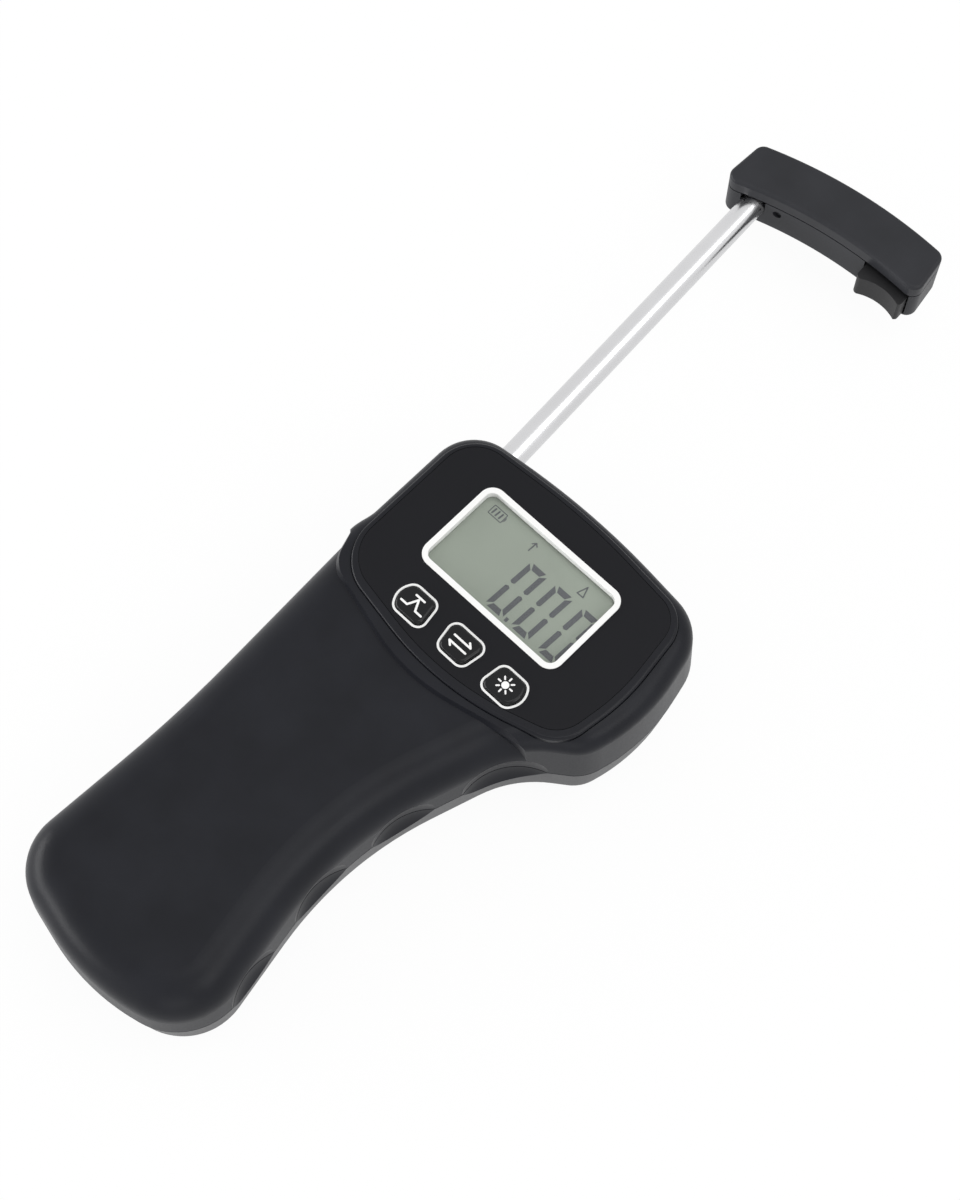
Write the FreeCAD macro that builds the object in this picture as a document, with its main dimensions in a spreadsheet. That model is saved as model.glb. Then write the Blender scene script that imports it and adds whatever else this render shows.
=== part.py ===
"""Hand-grip digital force gauge with a pull rod and a curved end arm.

Millimetres. +Z is up out of the display, +Y runs along the grip towards the rod, and +X is the
finger side. The origin is on the flat back, straight below the middle of the display window.
"""
import FreeCAD
import Part
import Sketcher
import math
import os

V = FreeCAD.Vector
doc = FreeCAD.newDocument("force_gauge")

# Driving sizes: alias, value in millimetres or degrees, what it is
SIZES = [
    ("part_height", 17, "height of the line between the two casing halves"),
    ("face_height", 34, "top of the bezel and its overlay"),
    ("head_drop", 0.8, "how far the head round the bezel lies below its face"),
    ("grip_drop", 1.4, "how far the grip lies below the head"),
    ("wall", 2.2, "casing wall"),
    ("front_draft", 0.8, "how far the front side leans in at the top"),
    ("back_draft", 2.4, "how far the back side leans in at the bottom"),
    ("grip_round", 9, "rounding of the grip's top edge"),
    ("head_round", 4.5, "rounding of the head's top edge"),
    ("back_round", 7.5, "rounding of the back's edge"),
    ("seam", 0.3, "width of the line between the casing halves"),
    ("seam_depth", 0.35, "depth of that line"),
    ("head_left", 35.25, "left side of the head"),
    ("head_corner_y", 20.4, "upper corners of the head"),
    ("head_corner_round", 11.5, "rounding of the upper left corner"),
    ("step_top_y", 10.4, "where the left side steps out below the head"),
    ("step_low_y", 14.9, "end of that step"),
    ("grip_left", 36.3, "left side of the grip below the head"),
    ("waist_left", 33.5, "left side of the waist"),
    ("waist_left_y", 70.5, "height of the waist on the left"),
    ("butt_left", 36, "left corner of the butt"),
    ("butt_left_y", 117, "height of that corner"),
    ("butt_end_x", 5, "middle of the butt, left of the origin"),
    ("butt_end_y", 123.9, "end of the butt"),
    ("butt_right", 21.6, "right corner of the butt"),
    ("butt_right_y", 116.8, "height of that corner"),
    ("waist_right", 12.4, "right corner of the waist"),
    ("waist_right_y", 66, "height of that corner"),
    ("throat_x", 25.1, "inner corner where the grip meets the head"),
    ("throat_y", 27.5, "height of that corner"),
    ("lobe_x", 37.1, "lower right corner of the head"),
    ("lobe_y", 18.7, "height of that corner"),
    ("head_right", 41.3, "right side of the head"),
    ("head_right_y", 4, "height of its widest place"),
    ("shoulder_x", 36.1, "upper right corner of the head"),
    ("shoulder_y", 20.4, "height of that corner"),
    ("crown_y", 24.2, "top of the head"),
    ("scoop_radius", 14, "ball that shapes a finger scoop"),
    ("scoop_depth", 2.1, "depth of a finger scoop"),
    ("scoop_lift", 1.3, "middle of a finger scoop above the joint line"),
    ("scoop_first_y", 31, "first finger scoop, below the display"),
    ("scoop_pitch", 22.4, "distance between finger scoops"),
    ("scoop_count", 4, "number of finger scoops"),
    ("face_left", 31, "left side of the face overlay"),
    ("face_right", 33.1, "right side of the face overlay"),
    ("face_top", 19.6, "top of the face overlay"),
    ("face_low", 28.35, "bottom of the face overlay"),
    ("bezel_rim", 1.7, "bezel outside the overlay"),
    ("bezel_shift", 0.4, "how much wider that rim is on the finger side and the bottom"),
    ("bezel_thick", 1.8, "bezel thickness"),
    ("overlay_thick", 0.3, "overlay film"),
    ("ridge_slope", 0.7, "run of the sloping ridge under the head"),
    ("fit", 0.12, "gap round pieces that sit in a recess"),
    ("window_long", 39.8, "white window frame, outside length"),
    ("window_high", 23.6, "white window frame, outside height"),
    ("frame_band", 1.3, "width of the white band"),
    ("frame_lip", 0.6, "how far the band lies over the overlay"),
    ("frame_proud", 0.2, "how far the band stands above the overlay"),
    ("window_round", 3.3, "corner of the white frame"),
    ("lens_thick", 0.8, "window lens"),
    ("lcd_long", 42, "display glass length"),
    ("lcd_high", 26, "display glass height"),
    ("lcd_thick", 2, "display glass thickness"),
    ("light_thick", 2.9, "backlight thickness"),
    ("board_thick", 1.6, "circuit board thickness"),
    ("board_left", 27.1, "left edge of the circuit board"),
    ("board_right", 27.8, "right edge of the circuit board"),
    ("board_top", 13.6, "upper edge of the circuit board"),
    ("board_low", 23.6, "lower edge of the circuit board"),
    ("board_cut", 8.5, "cut across the circuit board's lower right corner"),
    ("post_inset", 3, "board screw from the board's corner"),
    ("chip_side", 12, "side of the largest chip"),
    ("chip_high", 1.4, "height of the largest chip"),
    ("button_centre_x", 1.65, "middle button, right of the display's middle"),
    ("button_centre_y", 20.25, "row of buttons, below the display's middle"),
    ("button_half", 3.3, "half height of a button"),
    ("button_pitch", 13.2, "distance between the push switches"),
    ("button_rise", 0.9, "how far a button's crown stands above the face"),
    ("button_play", 0.15, "gap round a button"),
    ("button_flange", 0.9, "flange under the bezel that keeps a button in"),
    ("flange_thick", 0.8, "thickness of that flange"),
    ("button_travel", 0.5, "how far a button goes down"),
    ("switch_side", 6, "side of a push switch"),
    ("switch_high", 3.4, "height of a push switch"),
    ("plunger_radius", 1.7, "plunger of a push switch"),
    ("screw_radius", 1.45, "casing screw thread"),
    ("board_screw_radius", 0.95, "circuit board screw thread"),
    ("bracket_screw_radius", 1.25, "bracket screw thread"),
    ("arm_screw_radius", 1.1, "arm screw thread"),
    ("head_ratio", 1.75, "screw head against its thread"),
    ("head_high_ratio", 1.25, "height of a screw head against the thread's radius"),
    ("drive_ratio", 0.55, "half width of a screw's recess against the thread's radius"),
    ("screw_seat", 9, "height of the screw seats in the back"),
    ("screw_cover", 7.8, "how far the casing screws end below the grip's top"),
    ("screw_spare", 3, "depth of their holes beyond the screws"),
    ("boss_radius", 2.8, "screw boss in the front half"),
    ("pillar_radius", 3.3, "screw pillar in the back half"),
    ("screw_play", 0.05, "gap round a screw thread"),
    ("head_play", 0.3, "gap round a screw head"),
    ("rod_x", 26.5, "rod at the head's top wall, left of the origin"),
    ("rod_y", 25.2, "mark on the rod's axis just beyond the head's top wall"),
    ("rod_cant", 3.42, "lean of the rod in plan, degrees"),
    ("rod_radius", 3, "pull rod"),
    ("rod_tail_radius", 2, "threaded tail of the rod"),
    ("rod_play", 0.08, "running gap between rod and bush"),
    ("rod_travel", 0.25, "stretch of the load cell either way"),
    ("stop_gap", 0.3, "gap at the load cell's eye"),
    ("bush_radius", 4.5, "rod bush"),
    ("bush_long", 7.4, "length of the rod bush"),
    ("bush_inset", 4.6, "outer end of the bush, behind the rod's mark"),
    ("cell_start", 46, "load cell, behind the rod's mark"),
    ("cell_long", 34, "load cell length"),
    ("cell_wide", 16, "load cell width"),
    ("cell_thick", 12, "load cell thickness"),
    ("cell_web", 6, "end webs of the load cell"),
    ("cell_slot", 7, "slots of the load cell"),
    ("cell_hinge", 2.6, "metal left at the blind end of a slot"),
    ("cell_bore", 3.6, "bore between the slots"),
    ("bracket_thick", 2.5, "anchor bracket plate"),
    ("bracket_foot_high", 6, "height of the seat under the bracket's foot"),
    ("bracket_foot", 15, "length of the bracket's foot"),
    ("arm_centre_u", 27.3, "centre of the arm's curve, right of the rod"),
    ("arm_centre_v", 17.3, "centre of the arm's curve, below the top wall"),
    ("arm_near_radius", 108, "face of the arm that looks at the gauge"),
    ("arm_deep", 12.3, "arm from that face to its back"),
    ("arm_slant", 0.6, "how far the arm's ends lean in towards its back"),
    ("arm_left", 7.4, "end of the arm, left of the rod"),
    ("arm_right", 45.2, "end of the arm, right of the rod"),
    ("arm_low", 6, "underside of the arm, below the rod's axis"),
    ("arm_split", 3, "line between the arm's halves, above the rod's axis"),
    ("arm_high", 7, "top of the arm, above the rod's axis"),
    ("arm_corner", 2.6, "rounded corners of the arm in plan"),
    ("arm_edge", 0.9, "rounded edges of the arm"),
    ("arm_wall", 1.6, "wall of the arm"),
    ("arm_slit", 0.35, "line between the arm's halves"),
    ("saddle_left", 30.5, "saddle pad, left side"),
    ("saddle_right", 43.1, "saddle pad, right side"),
    ("saddle_proud", 3.4, "saddle pad beyond the arm's face"),
    ("saddle_deep", 6.5, "saddle pad inside the arm"),
    ("saddle_curve", 12, "curve of the saddle pad"),
    ("saddle_floor", 1.2, "arm wall under the saddle pad"),
    ("saddle_gap", 1, "gap above the saddle pad"),
    ("saddle_side_gap", 0.35, "gap at the saddle pad's sides"),
    ("pin_radius", 1.25, "pin across the rod's end"),
    ("pin_inset", 5, "pin from the rod's end"),
    ("door_middle", 10, "middle of the battery door, left of the origin"),
    ("door_top", 57.5, "upper end of the battery door"),
    ("door_thick", 1.85, "battery door"),
    ("door_tongue", 1.25, "side tongues of the battery door"),
    ("door_tongue_thick", 0.75, "thickness of those tongues"),
    ("door_play", 0.15, "gap round the battery door"),
    ("cell_radius", 5.25, "battery radius"),
    ("battery_long", 44.5, "battery length with its nub"),
    ("battery_pitch", 10.9, "distance between the batteries"),
    ("battery_nub", 0.8, "positive nub"),
    ("battery_lift", 0.35, "batteries above the door"),
    ("bay_start", 62.9, "upper end of the battery bay"),
    ("bay_wall", 1.5, "walls of the battery bay"),
    ("contact_thick", 0.4, "battery contact plates"),
    ("spring_reach", 3.2, "battery springs when held in"),
]


class Amount:
    """A size that carries the sheet formula it comes from."""

    def __init__(self, value, formula):
        self.value = float(value)
        self.formula = formula

    def __float__(self):
        return self.value

    @staticmethod
    def text(other):
        if isinstance(other, Amount):
            return other.formula
        number = float(other)
        return "%r" % number if number >= 0 else "(0 - %r)" % -number

    def __add__(self, other):
        return Amount(self.value + float(other), "(%s + %s)" % (self.formula, Amount.text(other)))

    def __radd__(self, other):
        return Amount(float(other) + self.value, "(%s + %s)" % (Amount.text(other), self.formula))

    def __sub__(self, other):
        return Amount(self.value - float(other), "(%s - %s)" % (self.formula, Amount.text(other)))

    def __rsub__(self, other):
        return Amount(float(other) - self.value, "(%s - %s)" % (Amount.text(other), self.formula))

    def __mul__(self, factor):
        return Amount(self.value * float(factor), "(%s * %s)" % (self.formula, Amount.text(factor)))

    __rmul__ = __mul__

    def __neg__(self):
        return Amount(-self.value, "(0 - %s)" % self.formula)


class Sheet:
    """The driving sizes, read by name."""

    def __init__(self, rows):
        self.sheet = doc.addObject("Spreadsheet::Sheet", "Sizes")
        for row, (alias, value, meaning) in enumerate(rows, start=1):
            self.sheet.set("A%d" % row, alias)
            self.sheet.set("B%d" % row, repr(float(value)))
            self.sheet.set("C%d" % row, meaning)
            self.sheet.setAlias("B%d" % row, alias)
        doc.recompute()

    def __getattr__(self, alias):
        return Amount(self.sheet.get(alias), "Sizes.%s" % alias)


S = Sheet(SIZES)
NODES = {}


def keep(obj, node):
    """Give an object its node name and list it for writing."""
    obj.Label = node
    NODES[node] = obj
    return obj


def feature(node, shape):
    """A sub-part whose shape is built by boolean steps."""
    obj = doc.addObject("Part::Feature", node)
    obj.Shape = shape
    return keep(obj, node)


def bind(obj, path, amount):
    """Bind one property or constraint to the sheet."""
    if isinstance(amount, Amount):
        obj.setExpression(path, amount.formula)


# Sketch and body helpers

def new_body(name):
    return doc.addObject("PartDesign::Body", name)


def new_sketch(body, role="XY_Plane", lift=0.0):
    """A sketch on one of the body's own origin planes, lifted along the plane's normal."""
    sketch = body.newObject("Sketcher::SketchObject", body.Name + "_sketch")
    plane = [f for f in body.Origin.OriginFeatures if f.Role == role][0]
    sketch.AttachmentSupport = [(plane, "")]
    sketch.MapMode = "FlatFace"
    sketch.AttachmentOffset = FreeCAD.Placement(V(0, 0, float(lift)), FreeCAD.Rotation())
    bind(sketch, ".AttachmentOffset.Base.z", lift)
    return sketch


def fix_point(sketch, geometry, point, x, y):
    """Hold one point of a sketch at sheet values."""
    for kind, amount in (("DistanceX", x), ("DistanceY", y)):
        index = sketch.addConstraint(Sketcher.Constraint(kind, -1, 1, geometry, point, float(amount)))
        bind(sketch, "Constraints[%d]" % index, amount)


def draw_polygon(sketch, points):
    """A closed polygon, each corner held at sheet values."""
    first = None
    count = len(points)
    for i, (x, y) in enumerate(points):
        nx, ny = points[(i + 1) % count]
        line = sketch.addGeometry(Part.LineSegment(V(float(x), float(y), 0), V(float(nx), float(ny), 0)))
        if first is None:
            first = line
        else:
            sketch.addConstraint(Sketcher.Constraint("Coincident", line - 1, 2, line, 1))
        fix_point(sketch, line, 1, x, y)
    sketch.addConstraint(Sketcher.Constraint("Coincident", first + count - 1, 2, first, 1))
    return sketch


def draw_box(sketch, x0, y0, x1, y1):
    """An upright rectangle between two corners."""
    return draw_polygon(sketch, [(x0, y0), (x1, y0), (x1, y1), (x0, y1)])


def draw_circle(sketch, x, y, radius):
    """A circle held at sheet values."""
    index = sketch.addGeometry(Part.Circle(V(float(x), float(y), 0), V(0, 0, 1), float(radius)))
    fix_point(sketch, index, 3, x, y)
    number = sketch.addConstraint(Sketcher.Constraint("Radius", index, float(radius)))
    bind(sketch, "Constraints[%d]" % number, radius)
    return sketch


def pad(body, sketch, length):
    """Raise a sketch along its normal."""
    step = body.newObject("PartDesign::Pad", body.Name + "_pad")
    step.Profile = sketch
    step.Length = float(length)
    bind(step, "Length", length)
    doc.recompute()
    return step


def pocket(body, sketch, length, reverse=True):
    """Cut a sketch into the body; the volume has to go down."""
    before = body.Shape.Volume
    step = body.newObject("PartDesign::Pocket", body.Name + "_pocket")
    step.Profile = sketch
    step.Length = float(length)
    step.Reversed = reverse
    bind(step, "Length", length)
    doc.recompute()
    if body.Shape.Volume > before - 0.01:
        raise ValueError("a pocket of %s cuts nothing" % body.Name)
    return step


def turned(body, sketch):
    """Turn a sketch about its own upright axis."""
    step = body.newObject("PartDesign::Revolution", body.Name + "_turn")
    step.Profile = sketch
    step.ReferenceAxis = (sketch, ["V_Axis"])
    step.Angle = 360
    doc.recompute()
    return step


def edge_round(body, edges, radius):
    """Round the named edges of a body's tip."""
    tip = body.Tip
    step = body.newObject("PartDesign::Fillet", body.Name + "_round")
    step.Base = (tip, edges)
    step.Radius = float(radius)
    bind(step, "Radius", radius)
    doc.recompute()
    return step


def upright_edges(shape):
    """Names of the straight edges that run along Z."""
    names = []
    for number, edge in enumerate(shape.Edges, start=1):
        a, b = edge.Vertexes[0].Point, edge.Vertexes[-1].Point
        if abs(a.x - b.x) < 1e-6 and abs(a.y - b.y) < 1e-6 and abs(a.z - b.z) > 1e-6:
            names.append("Edge%d" % number)
    return names


def plate(node, x0, y0, x1, y1, low, thick, corner=None):
    """A flat rectangular piece, made as a body with a pad and rounded corners."""
    body = new_body(node)
    pad(body, draw_box(new_sketch(body, lift=low), x0, y0, x1, y1), thick)
    if corner is not None:
        edge_round(body, upright_edges(body.Shape), corner)
    return keep(body, node)


def spread(node, shape, places):
    """Separate copies of one small piece, kept in one node."""
    copies = []
    for place in places:
        copy = shape.copy()
        copy.Placement = place.multiply(copy.Placement)
        copies.append(copy)
    return feature(node, Part.makeCompound(copies))


# Shape helpers

def block(x0, y0, z0, x1, y1, z1):
    x0, y0, z0, x1, y1, z1 = (float(v) for v in (x0, y0, z0, x1, y1, z1))
    return Part.makeBox(x1 - x0, y1 - y0, z1 - z0, V(x0, y0, z0))


def post(x, y, low, high, radius):
    return Part.makeCylinder(float(radius), float(high) - float(low), V(float(x), float(y), float(low)))


class Outline:
    """A closed outline given by its corners, each with the radius that rounds it."""

    def __init__(self, corners):
        self.corners = [tuple(float(v) for v in corner) for corner in corners]

    def grown(self, grow):
        """The same outline, further out by an even distance."""
        points = self.corners
        count = len(points)
        area = sum(points[i - 1][0] * points[i][1] - points[i][0] * points[i - 1][1] for i in range(count))
        side = 1 if area > 0 else -1
        lines = []
        for i in range(count):
            a, b = points[i], points[(i + 1) % count]
            run, rise = b[0] - a[0], b[1] - a[1]
            length = math.hypot(run, rise)
            run, rise = run / length, rise / length
            lines.append((a[0] + side * rise * grow, a[1] - side * run * grow, run, rise))
        corners = []
        for i in range(count):
            ax, ay, ux, uy = lines[i - 1]
            bx, by, vx, vy = lines[i]
            turn = ux * vy - uy * vx
            along = ((bx - ax) * vy - (by - ay) * vx) / turn
            swell = grow if turn * side > 0 else -grow
            corners.append((ax + along * ux, ay + along * uy, points[i][2] + swell))
        return Outline(corners)

    def moved(self, x, y):
        """The same outline, shifted in plan."""
        return Outline([(corner[0] + x, corner[1] + y, corner[2]) for corner in self.corners])

    def wire(self, height, grow=0.0):
        """Lines and tangent arcs at one height."""
        points = self.grown(float(grow)).corners
        count = len(points)
        height = float(height)
        arcs = []
        for i in range(count):
            before, here, after = points[i - 1], points[i], points[(i + 1) % count]
            ux, uy = before[0] - here[0], before[1] - here[1]
            vx, vy = after[0] - here[0], after[1] - here[1]
            ul, vl = math.hypot(ux, uy), math.hypot(vx, vy)
            ux, uy, vx, vy = ux / ul, uy / ul, vx / vl, vy / vl
            half = math.acos(ux * vx + uy * vy) / 2
            reach = here[2] / math.tan(half)
            depth = here[2] / math.sin(half) - here[2]
            middle = math.hypot(ux + vx, uy + vy)
            crown = V(here[0] + (ux + vx) / middle * depth, here[1] + (uy + vy) / middle * depth, height)
            arcs.append((V(here[0] + ux * reach, here[1] + uy * reach, height), crown,
                         V(here[0] + vx * reach, here[1] + vy * reach, height)))
        edges = []
        for i, (start, crown, end) in enumerate(arcs):
            edges.append(Part.Arc(start, crown, end).toShape())
            edges.append(Part.LineSegment(end, arcs[(i + 1) % count][0]).toShape())
        return Part.Wire(edges)

    def prism(self, low, high, grow=0.0, top_grow=None):
        """The outline raised between two heights, with a lean where the top differs."""
        low, high = float(low), float(high)
        if top_grow is None:
            return Part.Face(self.wire(low, grow)).extrude(V(0, 0, high - low))
        return Part.makeLoft([self.wire(low, grow), self.wire(high, top_grow)], True, True)


def edges_at(shape, height):
    """Edges that lie wholly at one height."""
    height = float(height)
    return [e for e in shape.Edges if all(abs(v.Z - height) < 1e-4 for v in e.Vertexes)]


def rounded_box_outline(long, high, radius, x=0.0, y=0.0):
    """A rectangle with rounded corners, centred on a point."""
    half_long, half_high = float(long) / 2, float(high) / 2
    x, y = float(x), float(y)
    return Outline([(x - half_long, y - half_high, radius), (x + half_long, y - half_high, radius),
                    (x + half_long, y + half_high, radius), (x - half_long, y + half_high, radius)])


# Outlines of the housing, of its face and of the ridge under the head

HOUSING = Outline([
    (-S.head_left, S.head_corner_y, S.head_corner_round),
    (-S.head_left, -S.step_top_y, 11),
    (-S.grip_left, -S.step_low_y, 14),
    (-S.waist_left, -S.waist_left_y, 300),
    (-S.butt_left, -S.butt_left_y, 14),
    (-S.butt_end_x, -S.butt_end_y, 52),
    (S.butt_right, -S.butt_right_y, 15.5),
    (S.waist_right, -S.waist_right_y, 83),
    (S.throat_x, -S.throat_y, 24.5),
    (S.lobe_x, -S.lobe_y, 10.2),
    (S.head_right, -S.head_right_y, 45),
    (S.shoulder_x, S.shoulder_y, 12.5),
    (-0.5, S.crown_y, 180),
])

FACE = Outline([
    (-S.face_left, S.face_top - 2.5, 8.5),
    (-S.face_left, -S.face_low + 6.2, 10),
    (4.6, -S.face_low, 70),
    (S.face_right - 2.5, -S.face_low + 8.2, 8),
    (S.face_right, -4.5, 50),
    (S.face_right - 2.6, S.face_top - 3, 7),
    (0.5, S.face_top, 150),
])
BEZEL = FACE.grown(float(S.bezel_rim)).moved(float(S.bezel_shift), -float(S.bezel_shift))

RIDGE = Outline([
    (-70, 60, 5),
    (-70, -S.step_low_y - 0.6, 5),
    (-S.face_left - 3.2, -S.step_low_y - 0.6, 2.5),
    (-S.face_left - 0.3, -S.face_low + 3.35, 7),
    (-2.6, -S.face_low - 4.25, 45),
    (70, -S.face_low + 12.75, 5),
    (70, 60, 5),
])


def side_point(y):
    """The finger side of the housing at one height, with its outward direction."""
    wire = HOUSING.wire(0)
    line = Part.LineSegment(V(0, float(y), 0), V(60, float(y), 0)).toShape()
    hit = wire.distToShape(line)[1][0][0]
    step = 0.5
    above = wire.distToShape(Part.LineSegment(V(0, float(y) + step, 0), V(60, float(y) + step, 0)).toShape())
    run = above[1][0][0].sub(hit)
    out = V(run.y, -run.x, 0)
    out.normalize()
    return hit, out


def scoop_balls(extra=0.0):
    """The balls that hollow the finger scoops, larger by an even distance where asked."""
    balls = []
    for number in range(int(float(S.scoop_count))):
        hit, out = side_point(-S.scoop_first_y - S.scoop_pitch * number)
        centre = hit.add(out.multiply(float(S.scoop_radius - S.scoop_depth)))
        middle = V(centre.x, centre.y, float(S.part_height + S.scoop_lift))
        balls.append(Part.makeSphere(float(S.scoop_radius) + extra, middle))
    return balls


# Positions of the fasteners

HEAD_TOP = S.face_height - S.head_drop
GRIP_TOP = HEAD_TOP - S.grip_drop
SCREW_TOP = GRIP_TOP - S.screw_cover
CASING_SCREWS = [
    (-15.5, S.board_top + S.boss_radius + 0.3),
    (S.shoulder_x - 5.1, S.shoulder_y - 6.5),
    (S.lobe_x - 5.3, -S.lobe_y + 6.3),
    (-S.head_left + 4.3, -S.step_low_y),
    (-S.waist_left + 5.1, -S.waist_left_y),
    (S.waist_right - 2.7, -S.scoop_first_y - S.scoop_pitch * 1.5),
    (-S.butt_left + 8.5, -S.butt_left_y + 5),
    (S.butt_right - 10, -S.butt_right_y + 5.8),
]
BOARD_TOP = S.face_height - S.bezel_thick - 0.3 - S.lcd_thick - S.light_thick
BOARD_LOW = BOARD_TOP - S.board_thick
BOARD_SCREWS = [
    (-S.board_left + S.post_inset, S.board_top - S.post_inset),
    (S.board_right - S.post_inset, S.board_top - S.post_inset),
    (-S.board_left + S.post_inset, -S.board_low + S.post_inset),
    (S.board_right - S.post_inset, -S.board_low + S.board_cut + 1.2),
]
ROD_PLACE = FreeCAD.Placement(V(-float(S.rod_x), float(S.rod_y), float(S.part_height)),
                              FreeCAD.Rotation(V(0, 0, 1), float(S.rod_cant)))
REACH = Amount(math.sqrt(float(S.arm_near_radius) ** 2 - float(S.arm_centre_u) ** 2),
               "sqrt(Sizes.arm_near_radius ^ 2 - Sizes.arm_centre_u ^ 2)")
ROD_END = REACH - S.arm_centre_v + S.arm_deep - S.arm_wall
BEZEL_LOW = S.face_height - S.bezel_thick
FLANGE_LOW = BEZEL_LOW - S.flange_thick


def along_rod(obj):
    """Put a piece that is drawn along the rod in its place."""
    obj.Placement = ROD_PLACE
    for axis, amount in (("x", -S.rod_x), ("y", S.rod_y), ("z", S.part_height)):
        bind(obj, ".Placement.Base.%s" % axis, amount)
    bind(obj, ".Placement.Rotation.Angle", S.rod_cant)
    return obj


# The buttons: name, offset along the row, corners of the cap about its own middle

def end_cap(side):
    """Corners of an outer button, with the bulging end on one side."""
    half = S.button_half
    corners = [(8.85, -half, 1.6), (16.3, -half, 1.9), (18.2, 0, 4), (16.4, half, 1.9), (9.85, half, 1.6)]
    return [(side * x + S.button_centre_x, y - S.button_centre_y, r) for x, y, r in corners]


def middle_cap():
    half = S.button_half
    corners = [(-3.45, -half, 1.7), (3.45, -half, 1.7), (4.6, half, 1.7), (-4.6, half, 1.7)]
    return [(x + S.button_centre_x, y - S.button_centre_y, r) for x, y, r in corners]


BUTTONS = {
    "peak": (Outline(end_cap(-1)), S.button_centre_x - S.button_pitch),
    "unit": (Outline(middle_cap()), S.button_centre_x),
    "light": (Outline(end_cap(1)), S.button_centre_x + S.button_pitch),
}


# Casing

def outer_front():
    """The outside of the front half: grip, head and ridge."""
    grip = HOUSING.prism(S.part_height, GRIP_TOP, 0, -S.front_draft)
    grip = grip.makeFillet(float(S.grip_round), edges_at(grip, GRIP_TOP))
    head = HOUSING.prism(S.part_height, HEAD_TOP, 0, -S.front_draft)
    head = head.makeFillet(float(S.head_round), edges_at(head, HEAD_TOP))
    bend = GRIP_TOP - 0.4
    region = RIDGE.prism(S.part_height - 1, bend, S.ridge_slope)
    slope = RIDGE.prism(bend, HEAD_TOP + 0.1, S.ridge_slope, 0)
    return grip.fuse([head.common(region.fuse(slope))]).removeSplitter()


def outer_back():
    """The outside of the back half."""
    solid = HOUSING.prism(0, S.part_height, -S.back_draft, 0)
    return solid.makeFillet(float(S.back_round), edges_at(solid, 0))


def seam_ring():
    """The thin ring that is cut out of both halves along their joint."""
    half = S.seam * 0.5
    core = HOUSING.prism(S.part_height - half, S.part_height + half, -S.seam_depth)
    core = core.cut(scoop_balls(float(S.seam_depth)))
    ring = HOUSING.prism(S.part_height - half, S.part_height + half, 3)
    return ring.cut(core)


def rod_bar(radius, start, end):
    """A round bar along the rod's axis, between two places behind or beyond the wall."""
    bar = Part.makeCylinder(float(radius), float(end) - float(start), V(0, float(start), 0), V(0, 1, 0))
    bar.Placement = ROD_PLACE
    return bar


def bush_seat(low, high):
    """The block that holds half of the rod bush."""
    half = S.bush_radius + 2
    seat = block(-half, -S.bush_inset - S.bush_long - 1.2, low, half, 0.5, high)
    seat.Placement = ROD_PLACE
    return seat


def front_shell():
    outside = outer_front()
    top = GRIP_TOP - S.wall
    inside = HOUSING.prism(S.part_height, top, -S.wall, -S.wall - S.front_draft)
    inside = inside.makeFillet(float(S.grip_round - S.wall), edges_at(inside, top))
    shell = outside.cut(inside.cut(scoop_balls(float(S.wall))))
    extras = [post(x, y, S.part_height, GRIP_TOP - 1, S.boss_radius) for x, y in CASING_SCREWS]
    extras += [post(x, y, BOARD_TOP, GRIP_TOP - 1, 2.3) for x, y in BOARD_SCREWS]
    extras.append(bush_seat(0, S.bush_radius + 2))
    shell = shell.fuse([extra.common(outside) for extra in extras])
    cuts = [BEZEL.prism(BEZEL_LOW, S.face_height + 5, S.fit)]
    glass_room = rounded_box_outline(S.lcd_long + 0.8, S.lcd_high + 0.8, 1)
    cuts.append(glass_room.prism(BOARD_TOP, S.face_height))
    for outline, middle in BUTTONS.values():
        cuts.append(outline.prism(BOARD_TOP, S.face_height, S.button_flange + 0.4))
    pilot = S.screw_radius + S.screw_play
    cuts += [post(x, y, S.part_height - 1, SCREW_TOP + S.screw_spare, pilot) for x, y in CASING_SCREWS]
    board_pilot = S.board_screw_radius + S.screw_play
    cuts += [post(x, y, BOARD_LOW, GRIP_TOP - 1.5, board_pilot) for x, y in BOARD_SCREWS]
    cuts.append(rod_bar(S.rod_radius + 0.5, -20, 6))
    cuts.append(rod_bar(S.bush_radius, -S.bush_inset - S.bush_long, -S.bush_inset))
    cuts += scoop_balls()
    cuts.append(seam_ring())
    return feature("front_shell", shell.cut(cuts))


def battery_box():
    """Walls and roof round the batteries, and the thicker floor along the door."""
    half = S.battery_pitch * 0.5 + S.cell_radius + 0.4
    length = S.battery_long + S.spring_reach + S.contact_thick * 2
    roof = S.door_thick + S.door_play + S.battery_lift + S.cell_radius * 2 + 0.4
    left, right = -S.door_middle - half, -S.door_middle + half
    low_end = -S.bay_start - length
    walls = block(left - S.bay_wall, low_end - S.bay_wall, 1,
                  right + S.bay_wall, -S.bay_start + S.bay_wall, roof + S.bay_wall)
    floor = block(left - 4.4, -S.butt_end_y, 1, right + 4.4, -S.door_top + 1.5, S.door_thick + 2.2)
    room = block(left, low_end, -1, right, -S.bay_start, roof)
    return [walls, floor], room


def door_slot(play):
    """The stepped slot that the battery door runs in, or with no play the door itself."""
    half = S.battery_pitch * 0.5 + S.cell_radius + 1.9 + play
    top = -S.door_top + play
    end, high = -S.butt_end_y - 6, S.door_thick + play
    body = block(-S.door_middle - half, end, -1, -S.door_middle + half, top, high)
    wide = half + S.door_tongue
    low = S.door_thick - S.door_tongue_thick - play
    tongues = block(-S.door_middle - wide, end, low, -S.door_middle + wide, top, high)
    return body.fuse(tongues)


def bracket_seats():
    """Two seats on the back half that carry the load cell's bracket."""
    seats = []
    for u in (-4.5, 4.5):
        spot = ROD_PLACE.multVec(V(u, float(-S.cell_start - S.cell_long + 6), 0))
        seats.append((spot.x, spot.y))
    return seats


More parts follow.
